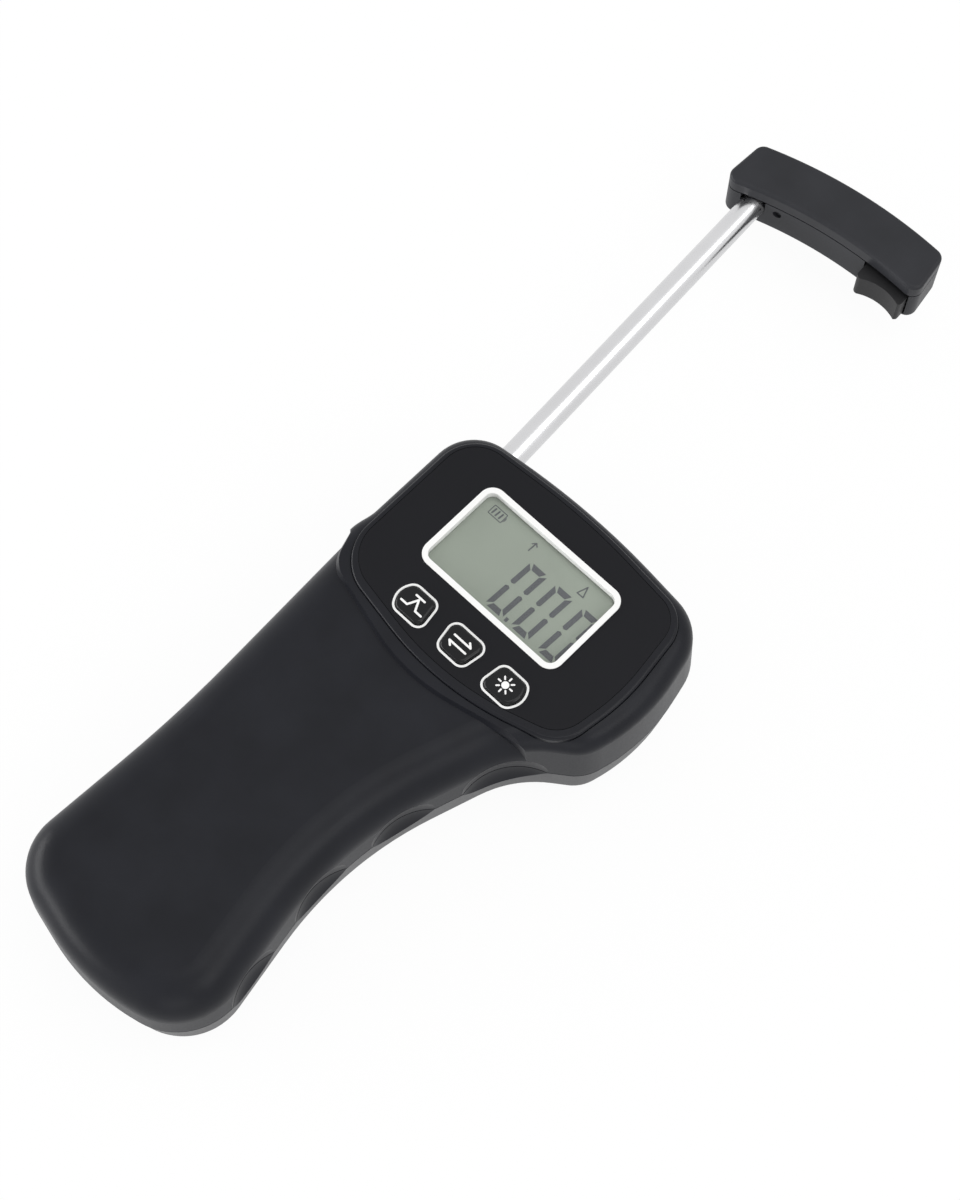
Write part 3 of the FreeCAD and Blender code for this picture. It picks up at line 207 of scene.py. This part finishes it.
def new_piece(name: str, mesh: bpy.types.Mesh) -> bpy.types.Object:
    """Link a new mesh object to the scene.

    Args:
        name: the piece's name.
        mesh: its mesh.

    Returns:
        The object.
    """
    obj = bpy.data.objects.new(name, mesh)
    bpy.context.scene.collection.objects.link(obj)
    return obj


Point = tuple[float, float]
Ring = tuple[list[Point], list[Point]]


class Outline:
    """A closed outline in millimetres, given by its corners and the radius of each."""

    def __init__(self, corners: list[tuple[float, float, float]]) -> None:
        """Keep the corners, which run anticlockwise."""
        self.corners = corners

    def grown(self, grow: float) -> "Outline":
        """The same outline, further out by an even distance.

        Args:
            grow: the distance, less than nothing to go inward.

        Returns:
            The new outline.
        """
        points = self.corners
        count = len(points)
        lines = []
        for i in range(count):
            a, b = points[i], points[(i + 1) % count]
            run, rise = b[0] - a[0], b[1] - a[1]
            length = math.hypot(run, rise)
            run, rise = run / length, rise / length
            lines.append((a[0] + rise * grow, a[1] - run * grow, run, rise))
        corners = []
        for i in range(count):
            ax, ay, ux, uy = lines[i - 1]
            bx, by, vx, vy = lines[i]
            turn = ux * vy - uy * vx
            along = ((bx - ax) * vy - (by - ay) * vx) / turn
            swell = grow if turn > 0 else -grow
            radius = max(points[i][2] + swell, LEAST_RADIUS)
            corners.append((ax + along * ux, ay + along * uy, radius))
        return Outline(corners)

    def points(self, steps: int = 10) -> list[Point]:
        """Points along the outline, the same number for each corner.

        Args:
            steps: chords in each rounded corner.

        Returns:
            The points, in order.
        """
        count = len(self.corners)
        found = []
        for i in range(count):
            before, after = self.corners[i - 1], self.corners[(i + 1) % count]
            place, radius = Vector(self.corners[i][:2]), self.corners[i][2]
            towards = (Vector(before[:2]) - place).normalized()
            onward = (Vector(after[:2]) - place).normalized()
            half = towards.angle(onward) / 2
            reach = radius / math.tan(half)
            centre = place + (towards + onward).normalized() * radius / math.sin(half)
            first, last = place + towards * reach - centre, place + onward * reach - centre
            start = math.atan2(first.y, first.x)
            sweep = math.atan2(first.x * last.y - first.y * last.x, first.dot(last))
            for step in range(steps + 1):
                angle = start + sweep * step / steps
                found.append((centre.x + radius * math.cos(angle), centre.y + radius * math.sin(angle)))
        return found


@dataclass(frozen=True)
class Sheet:
    """Flat printed shapes of one colour, gathered into one thin piece.

    Each shape's top lies a little above the one before it, so that shapes may cross.
    """

    name: str
    look: Look
    body: str
    level: float
    thick: float = 0.02
    sunk: float = 0.01
    layer: float = 0.002

    def make(self, shapes: list[list[Point]], rings: list[Ring]) -> bpy.types.Object:
        """Build the piece and let it ride on its body.

        Args:
            shapes: filled shapes, each a closed run of points in millimetres.
            rings: bands, each an outer and an inner run with as many points.

        Returns:
            The piece.
        """
        low, high = (self.level - self.sunk) * MM, (self.level + self.thick) * MM
        work = bmesh.new()
        for number, shape in enumerate(shapes):
            top = high + number * self.layer * MM
            under = [work.verts.new((x * MM, y * MM, low)) for x, y in shape]
            over = [work.verts.new((x * MM, y * MM, top)) for x, y in shape]
            work.faces.new(over)
            work.faces.new(under[::-1])
            for i in range(len(shape)):
                work.faces.new((under[i - 1], under[i], over[i], over[i - 1]))
        for outer, inner in rings:
            loops = [[work.verts.new((x * MM, y * MM, z)) for x, y in run]
                     for run, z in ((outer, low), (outer, high), (inner, high), (inner, low))]
            for i in range(len(outer)):
                for a, b in zip(loops, loops[1:] + loops[:1]):
                    work.faces.new((a[i - 1], a[i], b[i], b[i - 1]))
        bmesh.ops.recalc_face_normals(work, faces=work.faces)
        mesh = bpy.data.meshes.new(self.name)
        work.to_mesh(mesh)
        work.free()
        piece = new_piece(self.name, mesh)
        dress(piece, self.look)
        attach(piece, self.body)
        log.info("printed %s", self.name)
        return piece


def stroke(start: Point, end: Point, width: float) -> list[Point]:
    """A straight printed stroke with rounded ends.

    Args:
        start: middle of one end.
        end: middle of the other end.
        width: width of the stroke.

    Returns:
        The points round it.
    """
    along = Vector(end) - Vector(start)
    heading = math.atan2(along.y, along.x)
    found = []
    radius, steps = width / 2, 8
    for centre, first in ((end, heading - math.pi / 2), (start, heading + math.pi / 2)):
        for step in range(steps + 1):
            angle = first + math.pi * step / steps
            found.append((centre[0] + radius * math.cos(angle), centre[1] + radius * math.sin(angle)))
    return found


def disc(centre: Point, radius: float, steps: int = 28) -> list[Point]:
    """Points round a circle.

    Args:
        centre: its middle.
        radius: its radius.
        steps: how many points.

    Returns:
        The points, in order.
    """
    return [(centre[0] + radius * math.cos(2 * math.pi * i / steps),
             centre[1] + radius * math.sin(2 * math.pi * i / steps)) for i in range(steps)]


# Display

@dataclass
class Display:
    """Seven-bar figures and small signs on the display glass, in millimetres."""

    level: float = 31.9
    figure_left: tuple[float, ...] = (-2.07, 5.43, 13.25)
    figure_low: float = -9.1
    figure_high: float = 4.8
    figure_wide: float = 5.05
    bar: float = 1.25
    cap_bar: float = 1.4
    slant: float = 0.045
    gap: float = 0.16
    middle_gap: float = 0.8
    bevel: float = 0.35
    cap_inset: float = 0.55
    case_line: float = 0.11
    arrow_line: float = 0.32
    barb_line: float = 0.28
    mark_line: float = 0.3
    point_centre: Point = (3.98, -8.6)
    point_half: tuple[float, float] = (0.38, 0.5)

    def lean(self, shape: list[Point]) -> list[Point]:
        """Slant a shape to the right.

        Args:
            shape: the upright shape.

        Returns:
            The slanted shape.
        """
        return [(x + (y - self.figure_low) * self.slant, y) for x, y in shape]

    def figure(self, left: float) -> list[list[Point]]:
        """The six lit bars of a nought.

        Args:
            left: left side of the figure at its foot.

        Returns:
            The bars.
        """
        right, low, high = left + self.figure_wide, self.figure_low, self.figure_high
        middle = (low + high) / 2
        bar, cap, gap = self.bar, self.cap_bar, self.gap
        bars = []
        for foot, top in ((low, middle - self.middle_gap / 2), (middle + self.middle_gap / 2, high)):
            outer_low = foot + (cap * self.bevel if foot == low else self.bevel)
            outer_high = top - (cap * self.bevel if top == high else self.bevel)
            inner_low = foot + cap + gap if foot == low else outer_low
            inner_high = top - (cap + gap) if top == high else outer_high
            half_low = (outer_low + inner_low) / 2 if foot == low else foot
            half_high = (outer_high + inner_high) / 2 if top == high else top
            for side, edge in ((1, left), (-1, right)):
                half, full = edge + side * bar / 2, edge + side * bar
                bars.append([(edge, outer_low), (half, half_low), (full, inner_low),
                             (full, inner_high), (half, half_high), (edge, outer_high)])
        inset = bar * self.cap_inset
        for edge, side in ((low, 1), (high, -1)):
            bars.append([(left + inset, edge), (left + bar + gap, edge + side * cap),
                         (right - bar - gap, edge + side * cap), (right - inset, edge)])
        return [self.lean(shape) for shape in bars]

    def battery_sign(self) -> tuple[list[list[Point]], list[Ring]]:
        """A small cell with three bars.

        Returns:
            Its filled shapes and the ring of its case.
        """
        case = Outline([(-16.3, 6.75, 0.15), (-12.6, 6.75, 0.15), (-12.6, 9.1, 0.15), (-16.3, 9.1, 0.15)])
        ring = (case.grown(self.case_line).points(3), case.grown(-self.case_line).points(3))
        bars = [stroke((x, 7.3), (x + 0.12, 8.55), 0.42) for x in (-15.6, -14.6, -13.6)]
        bars.append(stroke((-12.3, 7.5), (-12.3, 8.35), 0.25))
        return bars, [ring]

    def small_signs(self) -> list[list[Point]]:
        """An arrow for the direction of load, and a small triangle at the unit's place.

        Returns:
            Their strokes.
        """
        tip = (-3.6, 8.7)
        arrow = [stroke((-3.75, 6.3), tip, self.arrow_line), stroke(tip, (-4.25, 8.0), self.barb_line),
                 stroke(tip, (-2.95, 8.1), self.barb_line)]
        ends = [(10.5, 6.4), (12.2, 6.4), (11.35, 8.9)]
        mark = [stroke(a, b, self.mark_line) for a, b in zip(ends, ends[1:] + ends[:1])]
        return arrow + mark

    def build(self) -> None:
        """Print the figures and signs."""
        bars = [bar for left in self.figure_left for bar in self.figure(left)]
        x, y = self.point_centre
        wide, high = self.point_half
        bars.append([(x - wide, y - high), (x + wide, y - high), (x + wide, y + high),
                     (x - wide, y + high)])
        Sheet("display_figures", Look.SEGMENT, "grip", self.level).make(bars, [])
        cell_bars, cell_rings = self.battery_sign()
        signs = cell_bars + self.small_signs()
        Sheet("display_signs", Look.SEGMENT, "grip", self.level).make(signs, cell_rings)


# Key signs

@dataclass
class KeySigns:
    """White rings round the keys, and a sign on each key that moves with it, in millimetres."""

    row_x: float = 1.65
    row_y: float = -20.25
    half: float = 3.3
    spacing: float = 13.2
    face: float = 34.0
    crown: float = 34.9
    clear: float = 0.15
    line: float = 0.5
    sign_line: float = 0.48
    lamp_radius: float = 0.85
    rays: int = 8
    ray_span: tuple[float, float] = (1.3, 1.9)
    ray_line: float = 0.384

    def outlines(self) -> dict[str, Outline]:
        """The outline of each key, from corners whose heights are in half heights of the key.

        Returns:
            The outlines by the keys' names.
        """
        end = [(8.85, -1.0, 1.6), (16.3, -1.0, 1.9), (18.2, 0.0, 4.0), (16.4, 1.0, 1.9), (9.85, 1.0, 1.6)]
        middle = [(-3.45, -1.0, 1.7), (3.45, -1.0, 1.7), (4.6, 1.0, 1.7), (-4.6, 1.0, 1.7)]
        shapes = {"light": end, "unit": middle, "peak": [(-x, y, r) for x, y, r in end[::-1]]}
        return {name: Outline([(x + self.row_x, y * self.half + self.row_y, r) for x, y, r in shape])
                for name, shape in shapes.items()}

    def signs(self) -> dict[str, list[list[Point]]]:
        """The signs: a held peak, a change between two, and a lamp.

        Returns:
            The shapes of each sign by the keys' names.
        """
        x, y, width = self.row_x, self.row_y, self.sign_line
        left, right = x - self.spacing, x + self.spacing
        peak = [(-2.9, -1.3), (-1.2, -1.3), (0.0, 1.1), (1.2, -1.3), (2.9, -1.3)]
        runs = [stroke((left + a[0], y + a[1]), (left + b[0], y + b[1]), width)
                for a, b in zip(peak, peak[1:])]
        runs.append(stroke((left - 1.2, y + 1.6), (left + 1.2, y + 1.6), width))
        swap = []
        for side in (1, -1):
            tip = (x + side * 2.3, y + side * 0.8)
            swap.append(stroke((x - side * 2.3, y + side * 0.8), tip, width))
            swap.append(stroke(tip, (tip[0] - side * 0.9, tip[1] + side * 0.8), width))
        lamp = [disc((right, y), self.lamp_radius)]
        near, far = self.ray_span
        for number in range(self.rays):
            angle = 2 * math.pi * number / self.rays
            across, up = math.cos(angle), math.sin(angle)
            lamp.append(stroke((right + near * across, y + near * up),
                               (right + far * across, y + far * up), self.ray_line))
        return {"peak": runs, "unit": swap, "light": lamp}

    def build(self) -> None:
        """Print the rings on the film and the signs on the keys."""
        rings = []
        for outline in self.outlines().values():
            outer = outline.grown(self.clear + self.line)
            rings.append((outer.points(), outline.grown(self.clear).points()))
        Sheet("key_rings", Look.INK, "grip", self.face).make([], rings)
        for name, shapes in self.signs().items():
            Sheet(name + "_sign", Look.INK, name + "_key", self.crown).make(shapes, [])


# Studio

@dataclass
class Studio:
    """Floor, soft lights, background and the camera of the photograph."""

    azimuth: float = 44.14
    elevation: float = 67.36
    distance: float = 0.51064
    aside: float = -0.00872
    above: float = -0.00487
    target_height: float = 0.034
    lens: float = 72.0
    world_level: float = 0.75
    floor_half: float = 3.0
    floor_drop: float = 0.0002
    floor_shade: float = 0.9
    floor_glow: float = 0.94

    def directions(self) -> tuple[Vector, Vector, Vector]:
        """Directions of the camera.

        Returns:
            Its right, its up and the way back from the object to it.
        """
        a, e = math.radians(self.azimuth), math.radians(self.elevation)
        back = Vector((math.sin(a) * math.cos(e), -math.cos(a) * math.cos(e), math.sin(e)))
        right = Vector((math.cos(a), math.sin(a), 0))
        return right, back.cross(right), back

    def camera(self) -> None:
        """Stand the camera where the photograph was taken."""
        right, up, back = self.directions()
        data = bpy.data.cameras.new("camera")
        data.lens, data.sensor_width = self.lens, 36.0
        data.clip_start, data.clip_end = 0.01, 20.0
        camera = bpy.data.objects.new("camera", data)
        bpy.context.scene.collection.objects.link(camera)
        eye = Vector((0, 0, self.target_height)) + back * self.distance
        eye += right * self.aside + up * self.above
        turn = Matrix((right, up, back)).transposed()
        camera.matrix_world = Matrix.Translation(eye) @ turn.to_4x4()
        bpy.context.scene.camera = camera

    def lamp(self, name: str, towards: Vector, reach: float, size: tuple[float, float],
             power: float) -> None:
        """Hang one soft light.

        Args:
            name: the light's name.
            towards: direction from the object to the light.
            reach: distance from the object.
            size: its two sides, the first across the gauge where the light hangs above.
            power: watts.
        """
        data = bpy.data.lights.new(name, "AREA")
        data.shape = "RECTANGLE"
        data.size, data.size_y = size
        data.energy = power
        light = bpy.data.objects.new(name, data)
        light.location = towards.normalized() * reach
        light.rotation_mode = "QUATERNION"
        light.rotation_quaternion = towards.to_track_quat("Z", "Y")
        bpy.context.scene.collection.objects.link(light)

    def world(self) -> None:
        """White to the camera and in reflections, a plain soft level for light."""
        world = bpy.data.worlds.new("studio")
        bpy.context.scene.world = world
        world.use_nodes = True
        nodes, links = world.node_tree.nodes, world.node_tree.links
        nodes.clear()
        path = nodes.new("ShaderNodeLightPath")
        seen = nodes.new("ShaderNodeMath")
        seen.operation = "MAXIMUM"
        links.new(path.outputs["Is Camera Ray"], seen.inputs[0])
        links.new(path.outputs["Is Transmission Ray"], seen.inputs[1])
        also = nodes.new("ShaderNodeMath")
        also.operation = "MAXIMUM"
        links.new(seen.outputs[0], also.inputs[0])
        links.new(path.outputs["Is Glossy Ray"], also.inputs[1])
        level = nodes.new("ShaderNodeMapRange")
        level.inputs["To Min"].default_value = self.world_level
        level.inputs["To Max"].default_value = 1.0
        links.new(also.outputs[0], level.inputs["Value"])
        shade = nodes.new("ShaderNodeBackground")
        shade.inputs["Color"].default_value = (1, 1, 1, 1)
        links.new(level.outputs["Result"], shade.inputs["Strength"])
        out = nodes.new("ShaderNodeOutputWorld")
        links.new(shade.outputs[0], out.inputs["Surface"])

    def floor(self) -> None:
        """A plain pale floor that keeps a faint shadow."""
        mesh = bpy.data.meshes.new("floor")
        half = self.floor_half
        ends = [(-half, -half, 0), (half, -half, 0), (half, half, 0), (-half, half, 0)]
        mesh.from_pydata(ends, [], [(0, 1, 2, 3)])
        floor = new_piece("floor", mesh)
        floor.location.z = -self.floor_drop
        material = bpy.data.materials.new("pale_floor")
        material.use_nodes = True
        nodes, links = material.node_tree.nodes, material.node_tree.links
        nodes.clear()
        matt = nodes.new("ShaderNodeBsdfDiffuse")
        matt.inputs["Color"].default_value = (self.floor_shade, self.floor_shade, self.floor_shade, 1)
        glow = nodes.new("ShaderNodeEmission")
        glow.inputs["Color"].default_value = (1, 1, 1, 1)
        path = nodes.new("ShaderNodeLightPath")
        seen = nodes.new("ShaderNodeMath")
        seen.operation = "MAXIMUM"
        links.new(path.outputs["Is Camera Ray"], seen.inputs[0])
        links.new(path.outputs["Is Glossy Ray"], seen.inputs[1])
        share = nodes.new("ShaderNodeMath")
        share.operation = "MULTIPLY"
        share.inputs[1].default_value = self.floor_glow
        links.new(seen.outputs[0], share.inputs[0])
        mix = nodes.new("ShaderNodeMixShader")
        links.new(share.outputs[0], mix.inputs["Fac"])
        links.new(matt.outputs[0], mix.inputs[1])
        links.new(glow.outputs[0], mix.inputs[2])
        out = nodes.new("ShaderNodeOutputMaterial")
        links.new(mix.outputs[0], out.inputs["Surface"])
        mesh.materials.append(material)

    def build(self) -> None:
        """Set up the whole studio."""
        bpy.context.scene.view_settings.view_transform = "Standard"
        self.camera()
        self.world()
        self.floor()
        self.lamp("key_light", Vector((1.0, 0.1, 0.9)), 1.5, (0.7, 0.7), 4.0)
        self.lamp("side_light", Vector((0.9, -1.0, 0.35)), 1.5, (0.8, 0.8), 2.0)
        self.lamp("rod_light", Vector((0.27, 0.28, 0.92)), 1.2, (0.5, 1.2), 3.4)
        self.lamp("edge_light", Vector((-0.75, -0.65, 0.15)), 1.3, (1.6, 0.4), 14.0)


# The gauge

@dataclass
class Dressing:
    """Finishes of the nodes that keep the shape they came with."""

    nodes: dict[str, bpy.types.Object]
    finishes: dict[str, Look] = field(default_factory=lambda: {
        "front_shell": Look.HOUSING, "back_shell": Look.HOUSING, "battery_door": Look.HOUSING,
        "display_bezel": Look.BEZEL, "face_overlay": Look.FILM, "window_frame": Look.WHITE,
        "display_window": Look.WINDOW, "lcd_panel": Look.GLASS, "lcd_backlight": Look.DIFFUSER,
        "lcd_connectors": Look.STRIP, "main_board": Look.BOARD, "board_chips": Look.BLACK,
        "board_screws": Look.PLAIN_STEEL, "peak_button": Look.KEY, "unit_button": Look.KEY,
        "light_button": Look.KEY, "peak_plunger": Look.BLACK, "unit_plunger": Look.BLACK,
        "light_plunger": Look.BLACK, "tact_switches": Look.BLACK, "casing_screws": Look.PLAIN_STEEL,
        "pull_rod": Look.STEEL, "rod_pin": Look.PLAIN_STEEL, "rod_bush": Look.BRONZE,
        "rod_nut": Look.PLAIN_STEEL, "load_cell": Look.ALUMINIUM, "cell_bracket": Look.PLAIN_STEEL,
        "anchor_bolt": Look.PLAIN_STEEL, "bracket_screws": Look.PLAIN_STEEL, "arm_body": Look.ARM,
        "arm_cover": Look.ARM, "arm_screws": Look.PLAIN_STEEL, "saddle_pad": Look.RUBBER,
        "battery_cells": Look.WRAP, "battery_plates": Look.NICKEL, "battery_springs": Look.NICKEL,
    })

    def build(self) -> None:
        """Shade and dress each carried-over node."""
        for name, look in self.finishes.items():
            smooth(self.nodes[name])
            dress(self.nodes[name], look)
            log.info("dressed %s", name)


def corners(box: tuple[Vector, Vector]) -> list[list[float]]:
    """Two corners as plain lists of numbers.

    Args:
        box: the lowest and the highest corner.

    Returns:
        The same corners, ready for JSON.
    """
    return [list(box[0]), list(box[1])]


def main() -> None:
    """Build every part of the scene in order."""
    logging.basicConfig(level=logging.INFO, format="%(name)s: %(message)s")
    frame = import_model()
    Dressing(frame["nodes"]).build()
    Display().build()
    KeySigns().build()
    Studio().build()


if __name__ == "__main__":
    main()
